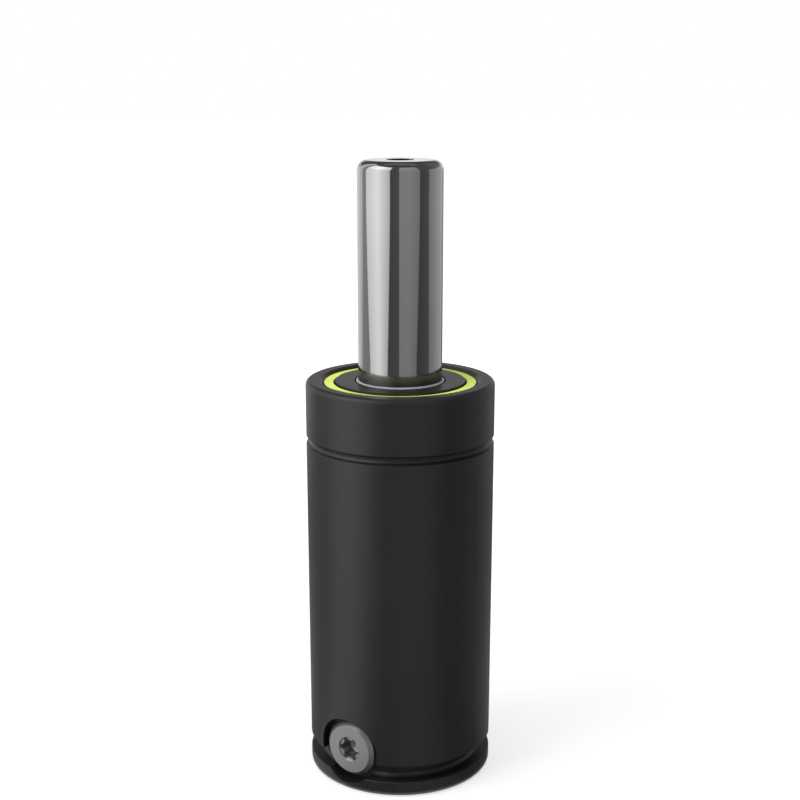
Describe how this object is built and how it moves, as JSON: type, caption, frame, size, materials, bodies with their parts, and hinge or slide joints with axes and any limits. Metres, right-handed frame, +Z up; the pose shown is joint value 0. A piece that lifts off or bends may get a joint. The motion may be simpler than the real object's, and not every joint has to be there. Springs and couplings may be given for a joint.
{
  "type": "nitrogen die spring",
  "caption": "Gas-charged die spring: black grooved cylinder, polished rod on a spring-loaded slide, sealed guide with a yellow dust ring, and a side charging port closed by a socket plug.",
  "frame": {"origin": "centre of the foot's bottom face, on the surface that the spring stands on", "axes": "+Z up along the rod, -Y out of the charging port, X across the two base holes"},
  "size_m": [0.0452, 0.0452, 0.15],
  "materials": {
    "black_steel": "satin",
    "polished_rod": "polished",
    "guide_plastic": "matte",
    "dark_steel": "satin",
    "bronze": "satin",
    "wiper_grey": "satin",
    "seal_red": "satin",
    "black_rubber": "matte",
    "white_plastic": "matte",
    "plain_steel": "satin",
    "yellow_plastic": "satin",
    "plug_steel": "satin",
    "copper": "satin",
    "valve_brass": "satin"
  },
  "bodies": {
    "cylinder": {"cylinder_body": "black_steel", "guide_housing": "dark_steel", "guide_bush": "bronze", "rod_wiper": "wiper_grey", "rod_seal": "seal_red", "seal_energiser": "black_rubber", "seal_backup_ring": "white_plastic", "seal_retainer": "plain_steel", "guide_o_ring": "black_rubber", "guide_backup_ring": "white_plastic", "retaining_ring": "plain_steel", "dust_ring": "yellow_plastic", "port_plug": "plug_steel", "port_plug_seal": "copper", "valve_body": "valve_brass", "valve_body_seal": "black_rubber", "valve_spring": "plain_steel"},
    "rod": {"piston_rod": "polished_rod", "stop_collar_front": "plain_steel", "stop_collar_back": "plain_steel", "piston_guide_band": "guide_plastic"},
    "valve_plunger": {"valve_pin": "plain_steel", "valve_pin_cap": "valve_brass", "valve_pin_seal": "black_rubber"}
  },
  "joints": [
    {"name": "rod_slide", "type": "slide", "parent": "cylinder", "child": "rod", "axis": [0, 0, 1], "range_m": [-0.05, 0], "stiffness_N_per_m": 46000},
    {"name": "valve_press", "type": "slide", "parent": "cylinder", "child": "valve_plunger", "axis": [0, 1, 0], "range_m": [0, 0.001], "stiffness_N_per_m": 500, "deforming": ["valve_spring"]}
  ]
}
